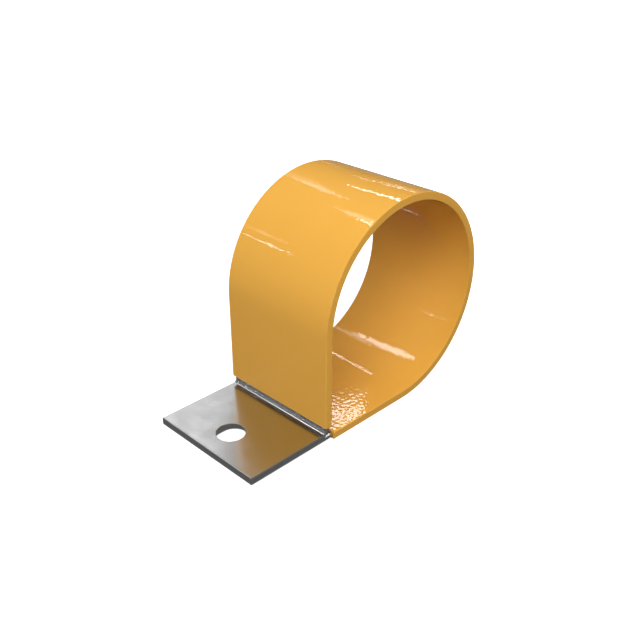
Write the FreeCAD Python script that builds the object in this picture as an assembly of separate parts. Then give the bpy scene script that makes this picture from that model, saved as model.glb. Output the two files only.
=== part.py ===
"""P clip: a steel strap bent into a loop with two stacked ears, in a plastic sleeve.

Frame: the origin is on the loop's axis at mid-width. +Y runs along that axis, +Z is up,
and the ears point along -X. All sizes are in millimetres.
"""
import FreeCAD
import Part
import math
import os

# Loop and what it holds
LOOP_BORE_RADIUS = 19.15

# Steel strap, one strip from ear to ear
STRAP_WIDTH = 24.6
STRAP_THICKNESS = 0.7
STRAP_EDGE_BEVEL = 0.1
EAR_LENGTH = 17.5
EAR_GAP = 0.04
BEND_INNER_RADIUS = 0.75

# Screw hole in the upper ear, and the longer slot under it in the lower ear
SCREW_HOLE_DIAMETER = 5.3
SCREW_HOLE_TO_EAR_END = 5.9
SLOT_PLAY = 1.2

# Plastic sleeve round the strap
SLEEVE_WALL = 0.4
SLEEVE_EDGE_ROUNDING = 0.15
BARE_STRAP_ABOVE_BEND = 0.65
SLEEVE_END_TO_UPRIGHT = 0.6

# How near a point lies to a curve to count as on it
TOLERANCE = 1e-6

# Radii about the loop's axis, from the bore outwards
STRAP_INNER_RADIUS = LOOP_BORE_RADIUS + SLEEVE_WALL
STRAP_OUTER_RADIUS = STRAP_INNER_RADIUS + STRAP_THICKNESS
SLEEVE_OUTER_RADIUS = STRAP_OUTER_RADIUS + SLEEVE_WALL
SLEEVE_WIDTH = STRAP_WIDTH + 2 * SLEEVE_WALL

# Heights of the two ears, which lie level with the bottom of the loop
LOWER_EAR_BOTTOM = -STRAP_OUTER_RADIUS
LOWER_EAR_TOP = LOWER_EAR_BOTTOM + STRAP_THICKNESS
UPPER_EAR_BOTTOM = LOWER_EAR_TOP + EAR_GAP
UPPER_EAR_TOP = UPPER_EAR_BOTTOM + STRAP_THICKNESS
EAR_END = -STRAP_OUTER_RADIUS - EAR_LENGTH
SCREW_HOLE_X = EAR_END + SCREW_HOLE_TO_EAR_END

# Centre of the bend that turns the upright run into the upper ear
BEND_X = -STRAP_OUTER_RADIUS - BEND_INNER_RADIUS
BEND_Z = UPPER_EAR_TOP + BEND_INNER_RADIUS
BEND_OUTER_RADIUS = BEND_INNER_RADIUS + STRAP_THICKNESS

# Square ends of the sleeve, on the upright run and on the bottom run
SLEEVE_UPRIGHT_END = BEND_Z + BARE_STRAP_ABOVE_BEND
SLEEVE_BOTTOM_END = -LOOP_BORE_RADIUS + SLEEVE_END_TO_UPRIGHT


def point(x, z, y=0.0):
    """Return the point at x and z, on the mid-plane unless y is given."""
    return FreeCAD.Vector(x, y, z)


def on_circle(centre_x, centre_z, radius, degrees):
    """Return the point on a circle in the mid-plane, at an angle from +X towards +Z."""
    angle = math.radians(degrees)
    return point(centre_x + radius * math.cos(angle), centre_z + radius * math.sin(angle))


def line(start, end):
    """Return a straight edge."""
    return Part.LineSegment(start, end).toShape()


def arc(centre_x, centre_z, radius, start_degrees, end_degrees):
    """Return a circular edge in the mid-plane, from one angle to the other."""
    middle_degrees = (start_degrees + end_degrees) / 2
    start = on_circle(centre_x, centre_z, radius, start_degrees)
    middle = on_circle(centre_x, centre_z, radius, middle_degrees)
    end = on_circle(centre_x, centre_z, radius, end_degrees)
    return Part.Arc(start, middle, end).toShape()


def loop_arc(radius):
    """Return three quarters of a circle about the loop's axis, from the bottom to the -X side."""
    return arc(0, 0, radius, -90, 180)


def strap_outer_face():
    """Return the edges of the strap's outer face: lower ear, loop, upright run, bend, upper ear."""
    radius = STRAP_OUTER_RADIUS
    return [
        line(point(EAR_END, LOWER_EAR_BOTTOM), point(0, -radius)),
        loop_arc(radius),
        line(point(-radius, 0), point(-radius, BEND_Z)),
        arc(BEND_X, BEND_Z, BEND_INNER_RADIUS, 0, -90),
        line(point(BEND_X, UPPER_EAR_TOP), point(EAR_END, UPPER_EAR_TOP)),
    ]


def strap_inner_face():
    """Return the edges of the strap's inner face, from the upper ear back to the lower one."""
    radius = STRAP_INNER_RADIUS
    return [
        line(point(EAR_END, UPPER_EAR_BOTTOM), point(BEND_X, UPPER_EAR_BOTTOM)),
        arc(BEND_X, BEND_Z, BEND_OUTER_RADIUS, -90, 0),
        line(point(-radius, BEND_Z), point(-radius, 0)),
        loop_arc(radius),
        line(point(0, LOWER_EAR_TOP), point(EAR_END, LOWER_EAR_TOP)),
    ]


def strap_ends():
    """Return the edges that close the strap's section at the free ends of its two ears."""
    return [
        line(point(EAR_END, UPPER_EAR_TOP), point(EAR_END, UPPER_EAR_BOTTOM)),
        line(point(EAR_END, LOWER_EAR_TOP), point(EAR_END, LOWER_EAR_BOTTOM)),
    ]


def sleeve_face(radius):
    """Return the edges of the sleeve's inner or outer face: bottom run, loop, upright run."""
    return [
        line(point(SLEEVE_BOTTOM_END, -radius), point(0, -radius)),
        loop_arc(radius),
        line(point(-radius, 0), point(-radius, SLEEVE_UPRIGHT_END)),
    ]


def sleeve_ends():
    """Return the edges that close the sleeve's section at its two square ends."""
    inner = LOOP_BORE_RADIUS
    outer = SLEEVE_OUTER_RADIUS
    return [
        line(point(-outer, SLEEVE_UPRIGHT_END), point(-inner, SLEEVE_UPRIGHT_END)),
        line(point(SLEEVE_BOTTOM_END, -inner), point(SLEEVE_BOTTOM_END, -outer)),
    ]


def band(edges, width):
    """Return the closed outline made of these edges, as a solid centred on the mid-plane."""
    outline = Part.Wire(Part.__sortEdges__(edges))
    face = Part.Face(outline)
    face.translate(FreeCAD.Vector(0, -width / 2, 0))
    return face.extrude(FreeCAD.Vector(0, width, 0))


def middle_of(edge):
    """Return the point halfway along an edge."""
    return edge.valueAt((edge.FirstParameter + edge.LastParameter) / 2)


def edges_along(solid, paths):
    """Return the solid's edges whose middle lies on one of the paths."""
    found = []
    for edge in solid.Edges:
        spot = Part.Vertex(middle_of(edge))
        if min(path.distToShape(spot)[0] for path in paths) < TOLERANCE:
            found.append(edge)
    return found


def both_sides(edges, width):
    """Return copies of mid-plane edges on the two side planes of a band."""
    copies = []
    for side in (-width / 2, width / 2):
        for edge in edges:
            copy = edge.copy()
            copy.translate(FreeCAD.Vector(0, side, 0))
            copies.append(copy)
    return copies


def across(x, z, width):
    """Return the straight line across a band through the point at x and z."""
    return line(point(x, z, -width / 2), point(x, z, width / 2))


def strap_blank():
    """Return the bent strip before its edges are rounded and its holes are punched."""
    return band(strap_outer_face() + strap_ends() + strap_inner_face(), STRAP_WIDTH)


def screw_hole_punch():
    """Return the round tool for the hole in the upper ear."""
    height = EAR_GAP / 2 + 2 * STRAP_THICKNESS
    base = point(SCREW_HOLE_X, UPPER_EAR_BOTTOM - EAR_GAP / 2)
    return Part.makeCylinder(SCREW_HOLE_DIAMETER / 2, height, base)


def slot_punch():
    """Return the long tool for the slot in the lower ear, centred under the screw hole."""
    base = LOWER_EAR_BOTTOM - STRAP_THICKNESS
    height = 2 * STRAP_THICKNESS + EAR_GAP / 2
    radius = SCREW_HOLE_DIAMETER / 2
    start = SCREW_HOLE_X - SLOT_PLAY / 2
    near_end = Part.makeCylinder(radius, height, point(start, base))
    far_end = Part.makeCylinder(radius, height, point(start + SLOT_PLAY, base))
    middle = Part.makeBox(SLOT_PLAY, 2 * radius, height, point(start, base, -radius))
    return near_end.fuse([middle, far_end]).removeSplitter()


def make_strap():
    """Return the steel strap: one strip, its outer edges eased, with its hole and slot."""
    blank = strap_blank()
    eased = both_sides(strap_outer_face(), STRAP_WIDTH)
    eased.append(across(EAR_END, UPPER_EAR_TOP, STRAP_WIDTH))
    eased.append(across(EAR_END, LOWER_EAR_BOTTOM, STRAP_WIDTH))
    strip = blank.makeChamfer(STRAP_EDGE_BEVEL, edges_along(blank, eased))
    return strip.cut(screw_hole_punch()).cut(slot_punch())


def make_sleeve():
    """Return the plastic sleeve: a band with rounded long edges and a channel for the strap."""
    faces = sleeve_face(SLEEVE_OUTER_RADIUS) + sleeve_face(LOOP_BORE_RADIUS)
    blank = band(faces + sleeve_ends(), SLEEVE_WIDTH)
    rounded = both_sides(faces, SLEEVE_WIDTH)
    body = blank.makeFillet(SLEEVE_EDGE_ROUNDING, edges_along(blank, rounded))
    return body.cut(strap_blank())


def single_solid(shape):
    """Return the one solid in a shape."""
    if len(shape.Solids) != 1:
        raise ValueError(f"expected one solid, found {len(shape.Solids)}")
    return shape.Solids[0]


def main():
    """Build each piece and write it to its own STEP file."""
    os.makedirs("parts", exist_ok=True)
    pieces = {"strap": make_strap(), "sleeve": make_sleeve()}
    for name, shape in pieces.items():
        solid = single_solid(shape)
        solid.exportStep(f"parts/{name}.step")
        box = solid.BoundBox
        print(f"{name}: {solid.Volume:.1f} mm3, valid {solid.isValid()}, "
              f"X {box.XMin:.2f} to {box.XMax:.2f}, Y {box.YMin:.2f} to {box.YMax:.2f}, "
              f"Z {box.ZMin:.2f} to {box.ZMax:.2f}")


main()
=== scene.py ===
"""Visual model of a P clip: a bent steel strap with two stacked ears, in an ochre plastic sleeve.

Sizes are in millimetres unless a name says otherwise. Meshes are built in millimetres and brought
to metres when they are finished.
"""

import logging
import math
from collections.abc import Iterable
from dataclasses import dataclass, field
from enum import Enum

import bmesh
import bpy
from mathutils import Matrix, Vector


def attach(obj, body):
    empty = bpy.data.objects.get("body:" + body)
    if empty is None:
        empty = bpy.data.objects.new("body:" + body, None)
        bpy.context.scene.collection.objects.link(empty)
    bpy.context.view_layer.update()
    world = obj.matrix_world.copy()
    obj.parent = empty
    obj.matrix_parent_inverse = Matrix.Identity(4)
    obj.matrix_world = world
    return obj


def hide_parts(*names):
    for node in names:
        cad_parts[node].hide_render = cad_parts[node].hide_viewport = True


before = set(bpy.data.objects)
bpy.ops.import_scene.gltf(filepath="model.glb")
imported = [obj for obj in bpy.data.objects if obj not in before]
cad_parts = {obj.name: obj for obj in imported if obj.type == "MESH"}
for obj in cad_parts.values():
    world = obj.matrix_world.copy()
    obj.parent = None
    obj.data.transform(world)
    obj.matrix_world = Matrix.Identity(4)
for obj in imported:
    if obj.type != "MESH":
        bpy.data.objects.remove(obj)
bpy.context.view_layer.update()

LOG = logging.getLogger("p_clip")
MM = 0.001
WHITE = (1.0, 1.0, 1.0)
Y_AXIS = Vector((0.0, 1.0, 0.0))
Z_AXIS = Vector((0.0, 0.0, 1.0))

# How near two places lie, in millimetres, to count as the same one
NEAR = 1e-3
# Edges that turn by more degrees than this stay crisp
CREASE_DEGREES = 5.0
# How much of a face's normal points along an axis when the face counts as facing that way
FACING = 0.8
# The same for a face of the plain strip, before its edges are eased
SQUARELY = 0.9
# How much of a face's normal may point up or down while the face belongs to a hole's wall
UPRIGHT = 0.5
# Faces of less area than this, in square millimetres, can be the strip's ends
SMALL_AREA = 20.0


class Surface(Enum):
    """The two kinds of steel surface on a strap that was sheared from sheet."""

    ROLLED = 0
    SHEARED = 1


@dataclass(frozen=True)
class Clip:
    """Sizes that the strap and the sleeve share, taken from the modelled part."""

    bore_radius: float = 19.15
    sleeve_wall: float = 0.4
    sleeve_width: float = 25.4
    strap_thickness: float = 0.7
    ear_length: float = 17.5
    ear_gap: float = 0.04
    bend_radius: float = 0.75
    bare_above_bend: float = 0.65
    sleeve_past_upright: float = 0.6
    loop_degrees: float = -270.0
    bend_degrees: float = 90.0

    @property
    def strap_inner(self) -> float:
        """Return the radius of the strap's inner face."""
        return self.bore_radius + self.sleeve_wall

    @property
    def strap_outer(self) -> float:
        """Return the radius of the strap's outer face."""
        return self.strap_inner + self.strap_thickness

    @property
    def sleeve_outer(self) -> float:
        """Return the radius of the sleeve's outer face."""
        return self.strap_outer + self.sleeve_wall

    @property
    def strap_width(self) -> float:
        """Return the width of the strap."""
        return self.sleeve_width - 2 * self.sleeve_wall

    @property
    def ear_end(self) -> float:
        """Return where both ears end along X."""
        return -self.strap_outer - self.ear_length

    @property
    def upper_ear_top(self) -> float:
        """Return the height of the upper ear's top face."""
        return self.upper_ear_bottom + self.strap_thickness

    @property
    def upper_ear_bottom(self) -> float:
        """Return the height of the upper ear's underside."""
        return -self.strap_inner + self.ear_gap

    @property
    def bend_x(self) -> float:
        """Return the bend's centre along X."""
        return -self.strap_outer - self.bend_radius

    @property
    def bend_z(self) -> float:
        """Return the bend's centre along Z."""
        return self.upper_ear_top + self.bend_radius

    @property
    def sleeve_upright_end(self) -> float:
        """Return the height at which the sleeve ends on the upright run."""
        return self.bend_z + self.bare_above_bend

    @property
    def sleeve_bottom_end(self) -> float:
        """Return where the sleeve ends along X on the bottom run."""
        return -self.bore_radius + self.sleeve_past_upright


class NodeGraph:
    """A material's or world's nodes, added and wired by short calls."""

    def __init__(self, tree: bpy.types.NodeTree) -> None:
        """Start from an empty graph.

        Args:
            tree: the node tree to fill.
        """
        self.tree = tree
        tree.nodes.clear()

    def add(self, kind: str, settings: dict | None = None, **inputs: object) -> bpy.types.Node:
        """Add a node.

        Args:
            kind: the node's type name.
            settings: properties to set on the node itself.
            inputs: socket values or sockets to link, by the socket's name in lower case with
                underscores for spaces.

        Returns:
            The new node.
        """
        node = self.tree.nodes.new(kind)
        for name, value in (settings or {}).items():
            setattr(node, name, value)
        for name, value in inputs.items():
            socket = self.socket(node, name)
            if isinstance(value, bpy.types.NodeSocket):
                self.tree.links.new(value, socket)
            else:
                socket.default_value = value
        return node

    @staticmethod
    def socket(node: bpy.types.Node, name: str) -> bpy.types.NodeSocket:
        """Find an input that is in use on a node.

        Args:
            node: the node.
            name: the socket's name in lower case with underscores, or its number as text.

        Returns:
            The first enabled input of that name.
        """
        if name.startswith("input_"):
            return node.inputs[int(name[len("input_"):])]
        for socket in node.inputs:
            if socket.enabled and socket.name.lower().replace(" ", "_") == name:
                return socket
        raise KeyError(f"{node.bl_idname} has no input {name}")


def start_material(name: str) -> tuple[bpy.types.Material, NodeGraph]:
    """Add a material whose graph is still empty.

    Args:
        name: the material's name.

    Returns:
        The material and its graph.
    """
    material = bpy.data.materials.new(name)
    material.use_nodes = True
    return material, NodeGraph(material.node_tree)


@dataclass(frozen=True)
class PlasticFinish:
    """Glossy ochre plastic with a very fine pebbled skin."""

    name: str = "ochre_plastic"
    colour: tuple[float, float, float] = (0.87, 0.450, 0.073)
    deep_colour: tuple[float, float, float] = (0.85, 0.430, 0.067)
    roughness: float = 0.035
    grain_per_metre: float = 1300.0
    grain_depth: float = 0.0000125
    swell_per_metre: float = 260.0
    swell_depth: float = 0.000004
    clouds_per_metre: float = 180.0
    refraction: float = 1.33

    def build(self) -> bpy.types.Material:
        """Make the material.

        Returns:
            The finished material.
        """
        material, graph = start_material(self.name)
        place = graph.add("ShaderNodeTexCoord").outputs["Object"]
        clouds = graph.add(
            "ShaderNodeTexNoise", vector=place, scale=self.clouds_per_metre, detail=3.0
        )
        colour = graph.add(
            "ShaderNodeMix",
            {"data_type": "RGBA"},
            factor=clouds.outputs["Fac"],
            a=(*self.deep_colour, 1.0),
            b=(*self.colour, 1.0),
        )
        grain = graph.add(
            "ShaderNodeTexNoise", vector=place, scale=self.grain_per_metre, detail=0.0
        )
        swell = graph.add(
            "ShaderNodeTexNoise",
            vector=place,
            scale=self.swell_per_metre,
            detail=1.0,
            roughness=0.4,
        )
        wide = graph.add(
            "ShaderNodeBump", height=swell.outputs["Fac"], strength=1.0, distance=self.swell_depth
        )
        fine = graph.add(
            "ShaderNodeBump",
            height=grain.outputs["Fac"],
            normal=wide.outputs["Normal"],
            strength=1.0,
            distance=self.grain_depth,
        )
        shader = graph.add(
            "ShaderNodeBsdfPrincipled",
            base_color=colour.outputs["Result"],
            roughness=self.roughness,
            normal=fine.outputs["Normal"],
            ior=self.refraction,
        )
        graph.add("ShaderNodeOutputMaterial", surface=shader.outputs["BSDF"])
        return material


@dataclass(frozen=True)
class RolledSteelFinish:
    """Bright rolled sheet steel with faint lines along the strip."""

    name: str = "rolled_steel"
    colour: tuple[float, float, float] = (0.55, 0.55, 0.55)
    least_roughness: float = 0.1785
    most_roughness: float = 0.252
    line_depth: float = 0.0000004
    lines_per_metre: float = 5200.0
    changes_per_metre_of_line: float = 120.0
    clouds_per_metre: float = 260.0

    def build(self) -> bpy.types.Material:
        """Make the material.

        Returns:
            The finished material.
        """
        material, graph = start_material(self.name)
        place = graph.add("ShaderNodeTexCoord").outputs["Object"]
        slow = self.changes_per_metre_of_line
        pattern = (slow, self.lines_per_metre, slow)
        along = graph.add("ShaderNodeMapping", vector=place, scale=pattern)
        lines = graph.add(
            "ShaderNodeTexNoise",
            vector=along.outputs["Vector"],
            scale=1.0,
            detail=3.0,
            roughness=0.6,
        )
        clouds = graph.add(
            "ShaderNodeTexNoise",
            vector=place,
            scale=self.clouds_per_metre,
            detail=3.0,
            roughness=0.55,
        )
        roughness = graph.add(
            "ShaderNodeMapRange",
            value=clouds.outputs["Fac"],
            from_min=0.3,
            from_max=0.7,
            to_min=self.least_roughness,
            to_max=self.most_roughness,
        )
        bump = graph.add(
            "ShaderNodeBump", height=lines.outputs["Fac"], strength=1.0, distance=self.line_depth
        )
        shader = graph.add(
            "ShaderNodeBsdfPrincipled",
            base_color=(*self.colour, 1.0),
            metallic=1.0,
            roughness=roughness.outputs["Result"],
            normal=bump.outputs["Normal"],
        )
        graph.add("ShaderNodeOutputMaterial", surface=shader.outputs["BSDF"])
        return material


@dataclass(frozen=True)
class ShearedSteelFinish:
    """Cut edge of the sheet: duller and darker, scored across its thickness."""

    name: str = "sheared_steel"
    colour: tuple[float, float, float] = (0.60, 0.60, 0.60)
    dark_colour: tuple[float, float, float] = (0.38, 0.38, 0.38)
    roughness: float = 0.42
    score_depth: float = 0.000006
    scores_per_metre: float = 4200.0
    changes_per_metre_of_score: float = 700.0

    def build(self) -> bpy.types.Material:
        """Make the material.

        Returns:
            The finished material.
        """
        material, graph = start_material(self.name)
        place = graph.add("ShaderNodeTexCoord").outputs["Object"]
        pattern = (self.scores_per_metre, self.scores_per_metre, self.changes_per_metre_of_score)
        across = graph.add("ShaderNodeMapping", vector=place, scale=pattern)
        scores = graph.add(
            "ShaderNodeTexNoise",
            vector=across.outputs["Vector"],
            scale=1.0,
            detail=3.0,
            roughness=0.6,
        )
        colour = graph.add(
            "ShaderNodeMix",
            {"data_type": "RGBA"},
            factor=scores.outputs["Fac"],
            a=(*self.dark_colour, 1.0),
            b=(*self.colour, 1.0),
        )
        bump = graph.add(
            "ShaderNodeBump", height=scores.outputs["Fac"], strength=1.0, distance=self.score_depth
        )
        shader = graph.add(
            "ShaderNodeBsdfPrincipled",
            base_color=colour.outputs["Result"],
            metallic=1.0,
            roughness=self.roughness,
            normal=bump.outputs["Normal"],
        )
        graph.add("ShaderNodeOutputMaterial", surface=shader.outputs["BSDF"])
        return material


@dataclass(frozen=True)
class PaperFinish:
    """White studio paper, bright enough to leave only a faint shadow."""

    name: str = "studio_paper"
    colour: tuple[float, float, float] = (0.9, 0.9, 0.9)
    roughness: float = 0.9
    glow: float = 0.75

    def build(self) -> bpy.types.Material:
        """Make the material.

        Returns:
            The finished material.
        """
        material, graph = start_material(self.name)
        shader = graph.add(
            "ShaderNodeBsdfPrincipled",
            base_color=(*self.colour, 1.0),
            roughness=self.roughness,
            emission_color=(*WHITE, 1.0),
            emission_strength=self.glow,
        )
        graph.add("ShaderNodeOutputMaterial", surface=shader.outputs["BSDF"])
        return material


class BandMesh:
    """A bmesh for a band that runs through straight stretches and turns about Y."""

    def __init__(self) -> None:
        """Start with an empty mesh."""
        self.mesh = bmesh.new()

    def section(self, x: float, low: float, high: float, width: float) -> list[bmesh.types.BMEdge]:
        """Add an upright rectangle across the band.

        Args:
            x: where it stands along X.
            low: height of its lower side.
            high: height of its upper side.
            width: its width along Y.

        Returns:
            The rectangle's four edges. It has no face.
        """
        place = Matrix.Translation((x, 0.0, (low + high) / 2))
        turned = Matrix.Rotation(math.radians(90), 4, "Y")
        sized = Matrix.Diagonal((high - low, width, 1.0, 1.0))
        made = bmesh.ops.create_grid(
            self.mesh, x_segments=1, y_segments=1, size=0.5, matrix=place @ turned @ sized
        )
        faces = once_each(face for vertex in made["verts"] for face in vertex.link_faces)
        edges = [edge for face in faces for edge in face.edges]
        bmesh.ops.delete(self.mesh, geom=faces, context="FACES_ONLY")
        return edges

    def run(
        self, edges: list[bmesh.types.BMEdge], way: tuple[float, float, float]
    ) -> list[bmesh.types.BMEdge]:
        """Carry a section straight on.

        Args:
            edges: the section to start from.
            way: how far to go along X, Y and Z.

        Returns:
            The section's edges at the far end.
        """
        made = bmesh.ops.extrude_edge_only(self.mesh, edges=edges)["geom"]
        bmesh.ops.translate(self.mesh, verts=of_kind(made, bmesh.types.BMVert), vec=way)
        moved = set(of_kind(made, bmesh.types.BMVert))
        return [edge for edge in of_kind(made, bmesh.types.BMEdge) if moved.issuperset(edge.verts)]

    def turn(
        self,
        edges: list[bmesh.types.BMEdge],
        centre: tuple[float, float],
        degrees: float,
        steps: int,
    ) -> list[bmesh.types.BMEdge]:
        """Carry a section round an arc about an axis along Y.

        Args:
            edges: the section to start from.
            centre: the axis's place along X and Z.
            degrees: how far to turn, from +Z towards +X.
            steps: how many facets the arc gets.

        Returns:
            The section's edges at the far end.
        """
        made = bmesh.ops.spin(
            self.mesh,
            geom=edges + once_each(vertex for edge in edges for vertex in edge.verts),
            cent=(centre[0], 0.0, centre[1]),
            axis=Y_AXIS,
            dvec=(0.0, 0.0, 0.0),
            angle=math.radians(degrees),
            steps=steps,
            use_merge=False,
            use_duplicate=False,
        )
        return of_kind(made["geom_last"], bmesh.types.BMEdge)

    def finish(self, name: str) -> bpy.types.Object:
        """Turn the bmesh into a smooth-shaded object at its true size.

        Args:
            name: the object's name.

        Returns:
            The new object, riding on the part's body.
        """
        bmesh.ops.recalc_face_normals(self.mesh, faces=self.mesh.faces[:])
        bmesh.ops.scale(self.mesh, verts=self.mesh.verts[:], vec=(MM, MM, MM))
        data = bpy.data.meshes.new(name)
        self.mesh.to_mesh(data)
        self.mesh.free()
        data.shade_smooth()
        data.set_sharp_from_angle(angle=math.radians(CREASE_DEGREES))
        piece = bpy.data.objects.new(name, data)
        bpy.context.scene.collection.objects.link(piece)
        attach(piece, "root")
        return piece


def of_kind(geometry: list, kind: type) -> list:
    """Pick one kind of element out of mixed mesh geometry.

    Args:
        geometry: vertices, edges and faces together.
        kind: the kind to keep.

    Returns:
        The elements of that kind.
    """
    return [item for item in geometry if isinstance(item, kind)]


def once_each(elements: Iterable) -> list:
    """Drop repeats and keep the order, which a set would not.

    Args:
        elements: vertices, edges or faces of a mesh.

    Returns:
        Each element once, where it first came.
    """
    return list(dict.fromkeys(elements))


@dataclass
class Strap:
    """The steel strap: lower ear, loop, upright run, bend and upper ear, all one strip."""

    clip: Clip
    edge_radius: float = 0.1
    edge_segments: int = 6
    loop_facets: int = 180
    bend_facets: int = 20
    hole_diameter: float = 5.3
    hole_to_ear_end: float = 5.9
    slot_play: float = 1.2
    hole_facets: int = 96
    rim_radius: float = 0.06
    rim_segments: int = 5

    def build(self) -> bpy.types.Object:
        """Make the strap.

        Returns:
            The finished piece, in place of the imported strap.
        """
        clip = self.clip
        band = BandMesh()
        start = band.section(clip.ear_end, -clip.strap_outer, -clip.strap_inner, clip.strap_width)
        ends = band.run(start, (-clip.ear_end, 0.0, 0.0))
        ends = band.turn(ends, (0.0, 0.0), clip.loop_degrees, self.loop_facets)
        ends = band.run(ends, (0.0, 0.0, clip.bend_z))
        centre = (clip.bend_x, clip.bend_z)
        ends = band.turn(ends, centre, clip.bend_degrees, self.bend_facets)
        ends = band.run(ends, (clip.ear_end - clip.bend_x, 0.0, 0.0))
        for loop in (start, ends):
            bmesh.ops.contextual_create(band.mesh, geom=loop)
        bmesh.ops.recalc_face_normals(band.mesh, faces=band.mesh.faces[:])
        self.ease_edges(band)
        self.pierce(band, clip.upper_ear_top, clip.upper_ear_bottom, play=0.0)
        self.pierce(band, -clip.strap_inner, -clip.strap_outer, play=self.slot_play)
        self.sort_surfaces(band)
        strap = band.finish("strap_piece")
        strap.data.materials.append(RolledSteelFinish().build())
        strap.data.materials.append(ShearedSteelFinish().build())
        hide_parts("strap")
        return strap

    def ease_edges(self, band: BandMesh) -> None:
        """Round the outer face's long edges and its edge at each ear's end.

        The small facets of the loop and the bend that squarely face -X count as cut, so the long
        edges stay sharp beside them, and the edges across the strap where they start and end are
        rounded instead.

        Args:
            band: the strap's mesh, a plain bent strip.
        """
        eased = [edge for edge in band.mesh.edges if self.is_outer_corner(edge)]
        bmesh.ops.bevel(
            band.mesh,
            geom=eased,
            offset=self.edge_radius,
            offset_type="OFFSET",
            affect="EDGES",
            segments=self.edge_segments,
            profile=0.5,
            material=-1,
        )

    def is_outer_corner(self, edge: bmesh.types.BMEdge) -> bool:
        """Tell whether an edge borders the outer face and a cut face.

        Args:
            edge: an edge of the plain bent strip.

        Returns:
            True if one of its faces is an outer face and the other counts as cut.
        """
        sides = [face for face in edge.link_faces if self.is_cut_face(face)]
        outer = [face for face in edge.link_faces if self.is_outer_face(face)]
        return len(sides) == 1 and len(outer) == 1

    @staticmethod
    def is_cut_face(face: bmesh.types.BMFace) -> bool:
        """Tell whether a face counts as cut: a side, or a small face that squarely faces -X."""
        small = face.calc_area() < SMALL_AREA
        return abs(face.normal.y) > SQUARELY or small and face.normal.x < -SQUARELY

    def is_outer_face(self, face: bmesh.types.BMFace) -> bool:
        """Tell whether a face of the plain strip belongs to its outer face.

        Args:
            face: a face of the plain bent strip.

        Returns:
            True if it faces away from the loop, or is the top of the upper ear or its bend.
        """
        if self.is_cut_face(face):
            return False
        middle = face.calc_center_median()
        if middle.x < -self.clip.strap_outer - NEAR and middle.z > -self.clip.strap_inner:
            return face.normal.z > 0
        if middle.x < 0 and middle.z < -self.clip.strap_inner + NEAR:
            return face.normal.z < 0
        return face.normal.dot(Vector((middle.x, 0.0, middle.z))) > 0

    def pierce(self, band: BandMesh, top: float, bottom: float, play: float) -> None:
        """Cut the screw hole, or the slot under it, through one ear.

        Args:
            band: the strap's mesh.
            top: height of the ear's top face.
            bottom: height of the ear's underside.
            play: how much longer than a round hole the opening is, along X.
        """
        upper_rim = self.open_face(band, top, 1.0, play)
        lower_rim = self.open_face(band, bottom, -1.0, play)
        rings = [upper_rim]
        for index in range(1, self.rim_segments + 1):
            rings.append(self.rim_ring(band, top, -1.0, index, play))
        for index in range(self.rim_segments, 0, -1):
            rings.append(self.rim_ring(band, bottom, 1.0, index, play))
        rings.append(lower_rim)
        for above, below in zip(rings, rings[1:]):
            bmesh.ops.bridge_loops(band.mesh, edges=above + below)

    def rim_ring(
        self, band: BandMesh, face_height: float, inwards: float, index: int, play: float
    ) -> list[bmesh.types.BMEdge]:
        """Add one ring of a rim's rounding.

        Args:
            band: the strap's mesh.
            face_height: height of the ear's face that the rim rounds into.
            inwards: 1 if the hole runs up from that face, -1 if it runs down.
            index: the ring's number, from 0 on the face to rim_segments on the hole's wall.
            play: how much longer than a round hole the opening is.

        Returns:
            The ring's edges.
        """
        angle = math.radians(90) * index / self.rim_segments
        radius = self.hole_diameter / 2 + self.rim_radius * (1 - math.sin(angle))
        height = face_height + inwards * self.rim_radius * (1 - math.cos(angle))
        return self.ring(band, radius, height, play)

    def ring(
        self, band: BandMesh, radius: float, height: float, play: float
    ) -> list[bmesh.types.BMEdge]:
        """Add a round or long ring about the screw's axis.

        Args:
            band: the strap's mesh.
            radius: the ring's radius.
            height: where it lies along Z.
            play: how far its two halves stand apart along X.

        Returns:
            The ring's edges.
        """
        axis_x = self.clip.ear_end + self.hole_to_ear_end
        half_step = math.radians(180) / self.hole_facets
        place = Matrix.Translation((axis_x, 0.0, height)) @ Matrix.Rotation(half_step, 4, "Z")
        made = bmesh.ops.create_circle(
            band.mesh, cap_ends=False, radius=radius, segments=self.hole_facets, matrix=place
        )
        for side in (-1.0, 1.0):
            half = [vertex for vertex in made["verts"] if (vertex.co.x - axis_x) * side > 0]
            bmesh.ops.translate(band.mesh, verts=half, vec=(side * play / 2, 0.0, 0.0))
        return once_each(edge for vertex in made["verts"] for edge in vertex.link_edges)

    def open_face(
        self, band: BandMesh, height: float, facing: float, play: float
    ) -> list[bmesh.types.BMEdge]:
        """Put an opening in the middle of one of an ear's flat faces.

        Args:
            band: the strap's mesh.
            height: the face's height.
            facing: 1 if it faces up, -1 if it faces down.
            play: how much longer than a round hole the opening is.

        Returns:
            The opening's edges.
        """
        found = [
            face
            for face in band.mesh.faces
            if face.normal.z * facing > FACING and abs(face.calc_center_median().z - height) < NEAR
        ]
        flat = max(found, key=lambda face: face.calc_area())
        outline = list(flat.edges)
        bmesh.ops.delete(band.mesh, geom=[flat], context="FACES_ONLY")
        rim = self.ring(band, self.hole_diameter / 2 + self.rim_radius, height, play)
        bmesh.ops.triangle_fill(
            band.mesh, use_beauty=True, edges=outline + rim, normal=Z_AXIS * facing
        )
        return rim

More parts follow.
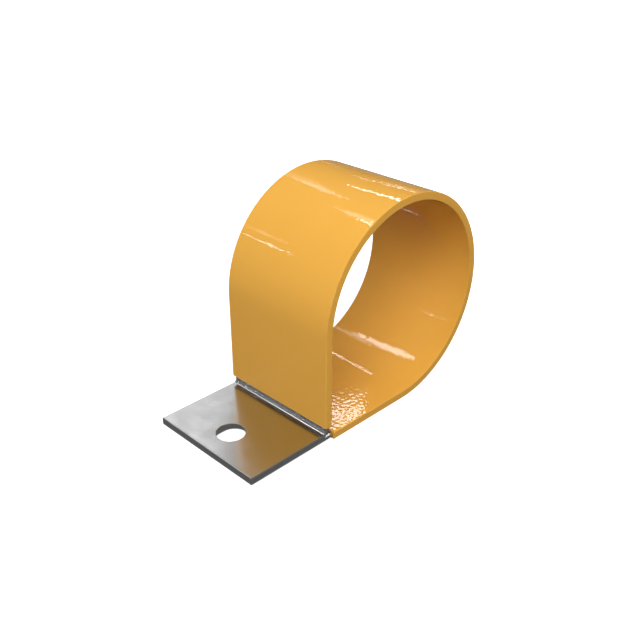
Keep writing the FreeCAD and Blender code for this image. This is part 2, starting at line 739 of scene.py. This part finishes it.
    def sort_surfaces(self, band: BandMesh) -> None:
        """Mark each face as rolled or sheared.

        Args:
            band: the strap's mesh, with its hole and slot.
        """
        bmesh.ops.recalc_face_normals(band.mesh, faces=band.mesh.faces[:])
        axis_x = self.clip.ear_end + self.hole_to_ear_end
        reach = self.hole_diameter / 2 + self.slot_play
        for face in band.mesh.faces:
            middle = face.calc_center_median()
            by_hole = (middle - Vector((axis_x, 0.0, middle.z))).length < reach
            in_hole = by_hole and abs(face.normal.z) < UPRIGHT
            at_end = middle.x < self.clip.ear_end + self.edge_radius and face.normal.x < -FACING
            cut = abs(face.normal.y) > FACING or in_hole or at_end
            face.material_index = (Surface.SHEARED if cut else Surface.ROLLED).value


@dataclass
class Sleeve:
    """The plastic sleeve, a hollow band round the strap that leaves its ears bare."""

    clip: Clip
    edge_radius: float = 0.15
    edge_segments: int = 6
    loop_facets: int = 180

    def build(self) -> bpy.types.Object:
        """Make the sleeve.

        Returns:
            The finished piece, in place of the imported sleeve.
        """
        clip = self.clip
        band = BandMesh()
        skin = self.sweep(
            band, -clip.sleeve_outer, -clip.bore_radius, clip.sleeve_width, self.edge_radius
        )
        channel = self.sweep(band, -clip.strap_outer, -clip.strap_inner, clip.strap_width, 0.0)
        for outer, inner in zip(skin, channel):
            bmesh.ops.bridge_loops(band.mesh, edges=outer + inner)
        sleeve = band.finish("sleeve_piece")
        sleeve.data.materials.append(PlasticFinish().build())
        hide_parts("sleeve")
        return sleeve

    def sweep(
        self, band: BandMesh, low: float, high: float, width: float, rounding: float
    ) -> tuple[list[bmesh.types.BMEdge], list[bmesh.types.BMEdge]]:
        """Add an open tube along the bottom run, the loop and the upright run.

        Args:
            band: the mesh to add to.
            low: height of the section's lower side at the bottom of the loop.
            high: height of its upper side there.
            width: the section's width.
            rounding: radius of its corners, or 0 for square ones.

        Returns:
            The tube's edges at its bottom end and at its upright end.
        """
        clip = self.clip
        start = band.section(clip.sleeve_bottom_end, low, high, width)
        if rounding > 0:
            start = self.round_corners(band, start, rounding)
        end = band.run(start, (-clip.sleeve_bottom_end, 0.0, 0.0))
        end = band.turn(end, (0.0, 0.0), clip.loop_degrees, self.loop_facets)
        end = band.run(end, (0.0, 0.0, clip.sleeve_upright_end))
        return start, end

    def round_corners(
        self, band: BandMesh, section: list[bmesh.types.BMEdge], radius: float
    ) -> list[bmesh.types.BMEdge]:
        """Round the corners of a section.

        Args:
            band: the mesh that holds it.
            section: its edges.
            radius: the corners' radius.

        Returns:
            The rounded section's edges.
        """
        corners = once_each(vertex for edge in section for vertex in edge.verts)
        bmesh.ops.contextual_create(band.mesh, geom=section)
        rounded = bmesh.ops.bevel(
            band.mesh,
            geom=corners,
            offset=radius,
            offset_type="OFFSET",
            affect="VERTICES",
            segments=self.edge_segments,
            profile=0.5,
            material=-1,
        )
        face = rounded["verts"][0].link_faces[0]
        edges = list(face.edges)
        bmesh.ops.delete(band.mesh, geom=[face], context="FACES_ONLY")
        return edges


@dataclass
class PaperSweep:
    """Pale floor whose rim curves up all round, so that no horizon shows."""

    clip: Clip
    floor_radius: float = 1400.0
    curve_radius: float = 500.0
    wall_height: float = 900.0
    curve_facets: int = 16
    facets: int = 96
    seam: float = 0.01

    def build(self) -> bpy.types.Object:
        """Make the floor.

        Returns:
            The finished floor.
        """
        mesh = bmesh.new()
        floor_height = -self.clip.sleeve_outer
        centre = mesh.verts.new((0.0, 0.0, floor_height))
        edge = bmesh.ops.extrude_vert_indiv(mesh, verts=[centre])["verts"][0]
        bmesh.ops.translate(mesh, verts=[edge], vec=(self.floor_radius, 0.0, 0.0))
        curve = bmesh.ops.spin(
            mesh,
            geom=[edge],
            cent=(self.floor_radius, 0.0, floor_height + self.curve_radius),
            axis=Y_AXIS,
            dvec=(0.0, 0.0, 0.0),
            angle=math.radians(-90),
            steps=self.curve_facets,
        )
        rim = of_kind(curve["geom_last"], bmesh.types.BMVert)
        top = bmesh.ops.extrude_vert_indiv(mesh, verts=rim)["verts"]
        bmesh.ops.translate(mesh, verts=top, vec=(0.0, 0.0, self.wall_height))
        bmesh.ops.spin(
            mesh,
            geom=mesh.verts[:] + mesh.edges[:],
            cent=(0.0, 0.0, 0.0),
            axis=Z_AXIS,
            dvec=(0.0, 0.0, 0.0),
            angle=math.radians(360),
            steps=self.facets,
            use_merge=True,
        )
        bmesh.ops.remove_doubles(mesh, verts=mesh.verts[:], dist=self.seam)
        bmesh.ops.recalc_face_normals(mesh, faces=mesh.faces[:])
        bmesh.ops.scale(mesh, verts=mesh.verts[:], vec=(MM, MM, MM))
        data = bpy.data.meshes.new("paper_sweep")
        mesh.to_mesh(data)
        mesh.free()
        data.shade_smooth()
        data.materials.append(PaperFinish().build())
        floor = bpy.data.objects.new("paper_sweep", data)
        bpy.context.scene.collection.objects.link(floor)
        floor.visible_glossy = False
        floor.visible_diffuse = False
        floor.visible_shadow = False
        return floor


@dataclass(frozen=True)
class Softbox:
    """A big square light that faces the clip. It lights surfaces but never shows as a glint."""

    name: str
    towards: tuple[float, float, float]
    radiance: float
    distance: float = 350.0
    side: float = 200.0

    def build(self) -> bpy.types.Object:
        """Make the light.

        Returns:
            The light object.
        """
        back = Vector(self.towards).normalized()
        across = Z_AXIS.cross(back)
        size = (self.side, self.side)
        return add_light(self.name, back * self.distance, across, size, self.radiance, shows=False)


@dataclass(frozen=True)
class Panel:
    """A bright strip in the studio that shows only as a glint on glossy faces."""

    name: str
    start: tuple[float, float, float]
    end: tuple[float, float, float]
    breadth: float
    radiance: float
    steel_only: bool = False

    def build(self, strap: bpy.types.Object) -> bpy.types.Object:
        """Make the light.

        Args:
            strap: the one piece that a steel-only panel shines on.

        Returns:
            The light object.
        """
        start, end = Vector(self.start), Vector(self.end)
        along = end - start
        size = (along.length, self.breadth)
        light = add_light(self.name, (start + end) / 2, along, size, self.radiance, shows=True)
        if self.steel_only:
            receivers = bpy.data.collections.new(f"{self.name}_receivers")
            receivers.objects.link(strap)
            light.light_linking.receiver_collection = receivers
        return light


def add_light(
    name: str, place: Vector, along: Vector, size: tuple[float, float], radiance: float, shows: bool
) -> bpy.types.Object:
    """Add a rectangular light that faces the loop's centre.

    Args:
        name: the light's name.
        place: its middle.
        along: the way its length runs.
        size: its length and breadth.
        radiance: how bright its face is.
        shows: True if only glossy faces see it, False if only matt ones do.

    Returns:
        The light object.
    """
    data = bpy.data.lights.new(name, "AREA")
    data.shape = "RECTANGLE"
    data.size = size[0] * MM
    data.size_y = size[1] * MM
    data.energy = radiance * math.pi * data.size * data.size_y
    light = bpy.data.objects.new(name, data)
    bpy.context.scene.collection.objects.link(light)
    back = place.normalized()
    right = (along - back * along.dot(back)).normalized()
    turned = Matrix((right, back.cross(right), back)).transposed().to_4x4()
    light.matrix_world = Matrix.Translation(place * MM) @ turned
    light.visible_camera = False
    light.visible_glossy = shows
    light.visible_diffuse = not shows
    return light


@dataclass(frozen=True)
class Surroundings:
    """How bright the studio is in each direction. Near is the camera's side, far the other one.

    Each blend is the span over which one level passes into the next, from -1 to 1 along the
    direction it is measured in: away from the camera for a side, up for the other two.
    """

    overhead: float = 0.27
    near_wall: float = 0.37
    far_wall: float = 0.10
    near_floor: float = 0.17
    far_floor: float = 0.19
    away: tuple[float, float, float] = (0.7071, 0.7071, 0.0)
    side_blend: tuple[float, float] = (-0.25, 0.25)
    horizon_blend: tuple[float, float] = (-0.05, 0.05)
    overhead_blend: tuple[float, float] = (0.5, 0.75)

    def build(self) -> bpy.types.World:
        """Make the world and put it round the scene.

        Returns:
            The world.
        """
        world = bpy.data.worlds.new("studio")
        bpy.context.scene.world = world
        world.use_nodes = True
        graph = NodeGraph(world.node_tree)
        direction = graph.add("ShaderNodeTexCoord").outputs["Generated"]
        height = graph.add("ShaderNodeSeparateXYZ", vector=direction).outputs["Z"]
        facing = graph.add(
            "ShaderNodeVectorMath",
            {"operation": "DOT_PRODUCT"},
            input_0=direction,
            input_1=self.away,
        )
        side = facing.outputs["Value"]
        floor = self.blend(graph, side, self.side_blend, self.near_floor, self.far_floor)
        wall = self.blend(graph, side, self.side_blend, self.near_wall, self.far_wall)
        lower = self.blend(graph, height, self.horizon_blend, floor, wall)
        level = self.blend(graph, height, self.overhead_blend, lower, self.overhead)
        glow = graph.add("ShaderNodeBackground", color=(*WHITE, 1.0), strength=level)
        graph.add("ShaderNodeOutputWorld", surface=glow.outputs["Background"])
        return world

    @staticmethod
    def blend(
        graph: NodeGraph,
        position: bpy.types.NodeSocket,
        span: tuple[float, float],
        low: bpy.types.NodeSocket | float,
        high: bpy.types.NodeSocket | float,
    ) -> bpy.types.NodeSocket:
        """Pass from one level to another.

        Args:
            graph: the graph to add to.
            position: what decides between the two levels.
            span: where the passage starts and ends.
            low: the level before it.
            high: the level after it.

        Returns:
            The socket with the resulting level.
        """
        node = graph.add(
            "ShaderNodeMapRange",
            value=position,
            from_min=span[0],
            from_max=span[1],
            to_min=low,
            to_max=high,
        )
        return node.outputs["Result"]


@dataclass(frozen=True)
class Studio:
    """Soft light from above the camera, and the panels whose glints show on the clip."""

    surroundings: Surroundings = Surroundings()
    softboxes: tuple[Softbox, ...] = (
        Softbox("key", (-0.56, -0.45, 0.70), 6.4),
        Softbox("front_fill", (-0.25, -0.80, 0.55), 0.8),
        Softbox("right_fill", (0.62, -0.25, 0.74), 2.6),
        Softbox("back_fill", (-0.5, 0.5, 0.7), 1.85),
    )
    panels: tuple[Panel, ...] = (
        Panel(
            "ear_panel", (215.0, 552.0, 392.0), (326.0, 470.0, 392.0),
            breadth=128.0, radiance=1.3, steel_only=True,
        ),
        Panel(
            "ear_corner_panel", (330.0, 502.0, 362.0), (380.0, 464.0, 362.0),
            breadth=60.0, radiance=0.9, steel_only=True,
        ),
        Panel("patch_panel", (372.0, 440.0, 397.0), (438.0, 382.0, 397.0), 16.0, 12.5),
        Panel("streak_panel", (46.0, 406.0, 568.0), (-18.0, 366.0, 597.0), 54.0, 15.0),
        Panel("dim_streak_panel", (84.0, 430.0, 547.0), (46.0, 406.0, 568.0), 46.0, 4.5),
        Panel(
            "bend_panel", (-65.0, 415.0, 545.0), (-65.0, 372.0, 575.0),
            breadth=90.0, radiance=9.0, steel_only=True,
        ),
        Panel(
            "faint_bend_panel", (-65.0, 470.0, 505.0), (-65.0, 415.0, 545.0),
            breadth=90.0, radiance=4.0, steel_only=True,
        ),
        Panel("left_panel", (-409.0, 493.0, 281.0), (-439.0, 461.0, 290.0), 8.0, 24.0),
        Panel("faint_left_panel", (-363.0, 491.0, 342.0), (-383.0, 468.0, 352.0), 22.0, 3.5),
        Panel("low_left_panel", (-491.0, 376.0, 326.0), (-497.0, 363.0, 333.0), 12.0, 16.0),
        Panel("top_panel", (490.0, 442.0, 233.0), (551.0, 393.0, 177.0), 3.0, 8.0),
        Panel("second_top_panel", (530.0, 421.0, 178.0), (567.0, 393.0, 117.0), 3.0, 5.0),
        Panel("short_top_panel", (506.0, 473.0, 99.0), (516.0, 459.0, 115.0), 5.0, 3.0),
        Panel("ceiling_panel", (-14.0, 419.0, -561.0), (-41.0, 409.0, -566.0), 10.0, 3.5),
        Panel(
            "back_ear_panel", (215.0, -552.0, 392.0), (326.0, -470.0, 392.0),
            breadth=128.0, radiance=1.3, steel_only=True,
        ),
        Panel(
            "side_ear_panel", (-300.0, -520.0, 392.0), (-420.0, -450.0, 392.0),
            breadth=160.0, radiance=0.9, steel_only=True,
        ),
        Panel("back_streak_panel", (82.0, -430.0, 546.0), (-18.0, -366.0, 597.0), 40.0, 8.0),
        Panel("back_core_panel", (264.0, -491.0, 422.0), (206.0, -447.0, 498.0), 40.0, 2.5),
        Panel("back_right_panel", (-206.0, -420.0, 510.0), (-264.0, -480.0, 430.0), 30.0, 6.0),
        Panel("wide_panel", (264.0, 491.0, 422.0), (238.0, 472.0, 456.0), 70.0, 0.9),
        Panel("core_panel", (238.0, 472.0, 456.0), (206.0, 447.0, 498.0), 34.0, 3.6),
    )

    def build(self, strap: bpy.types.Object) -> list[bpy.types.Object]:
        """Light the scene.

        Args:
            strap: the piece that the steel-only panels shine on.

        Returns:
            The lights.
        """
        self.surroundings.build()
        settings = bpy.context.scene.view_settings
        settings.view_transform = "Standard"
        settings.look = "None"
        softboxes = [softbox.build() for softbox in self.softboxes]
        return softboxes + [panel.build(strap) for panel in self.panels]


@dataclass(frozen=True)
class PhotoCamera:
    """The camera, placed round the loop's centre."""

    azimuth_degrees: float = -45.095
    elevation_degrees: float = 28.361
    roll_degrees: float = 0.095
    distance: float = 159.907
    offset_right: float = 6.683
    offset_up: float = 7.283
    lens: float = 47.197
    sensor: float = 36.0
    nearest_seen: float = 1.0
    farthest_seen: float = 20000.0

    def build(self) -> bpy.types.Object:
        """Make the camera and put the scene's view through it.

        Returns:
            The camera object.
        """
        azimuth = math.radians(self.azimuth_degrees)
        elevation = math.radians(self.elevation_degrees)
        roll = math.radians(self.roll_degrees)
        back = Vector(
            (
                math.sin(azimuth) * math.cos(elevation),
                -math.cos(azimuth) * math.cos(elevation),
                math.sin(elevation),
            )
        )
        level_right = Z_AXIS.cross(back).normalized()
        level_up = back.cross(level_right)
        right = math.cos(roll) * level_right + math.sin(roll) * level_up
        up = back.cross(right)
        place = back * self.distance - right * self.offset_right - up * self.offset_up
        data = bpy.data.cameras.new("camera")
        data.lens = self.lens
        data.sensor_width = self.sensor
        data.clip_start = self.nearest_seen * MM
        data.clip_end = self.farthest_seen * MM
        camera = bpy.data.objects.new("camera", data)
        bpy.context.scene.collection.objects.link(camera)
        turned = Matrix((right, up, back)).transposed().to_4x4()
        camera.matrix_world = Matrix.Translation(place * MM) @ turned
        bpy.context.scene.camera = camera
        return camera


@dataclass
class PClip:
    """The whole clip."""

    clip: Clip = field(default_factory=Clip)

    def build(self) -> list[bpy.types.Object]:
        """Make both pieces.

        Returns:
            The strap and the sleeve.
        """
        return [Strap(self.clip).build(), Sleeve(self.clip).build()]


def main() -> None:
    """Build the clip, its floor, its lights and the camera, and report each piece."""
    logging.basicConfig(level=logging.INFO, format="%(message)s")
    clip = Clip()
    strap, sleeve = PClip(clip).build()
    for piece in (strap, sleeve):
        LOG.info("%s: %d faces", piece.name, len(piece.data.polygons))
    LOG.info("%s is the floor", PaperSweep(clip).build().name)
    for light in Studio().build(strap):
        LOG.info("light %s: %.3f W", light.name, light.data.energy)
    LOG.info("%s at the photo's angle", PhotoCamera().build().name)


if __name__ == "__main__":
    main()
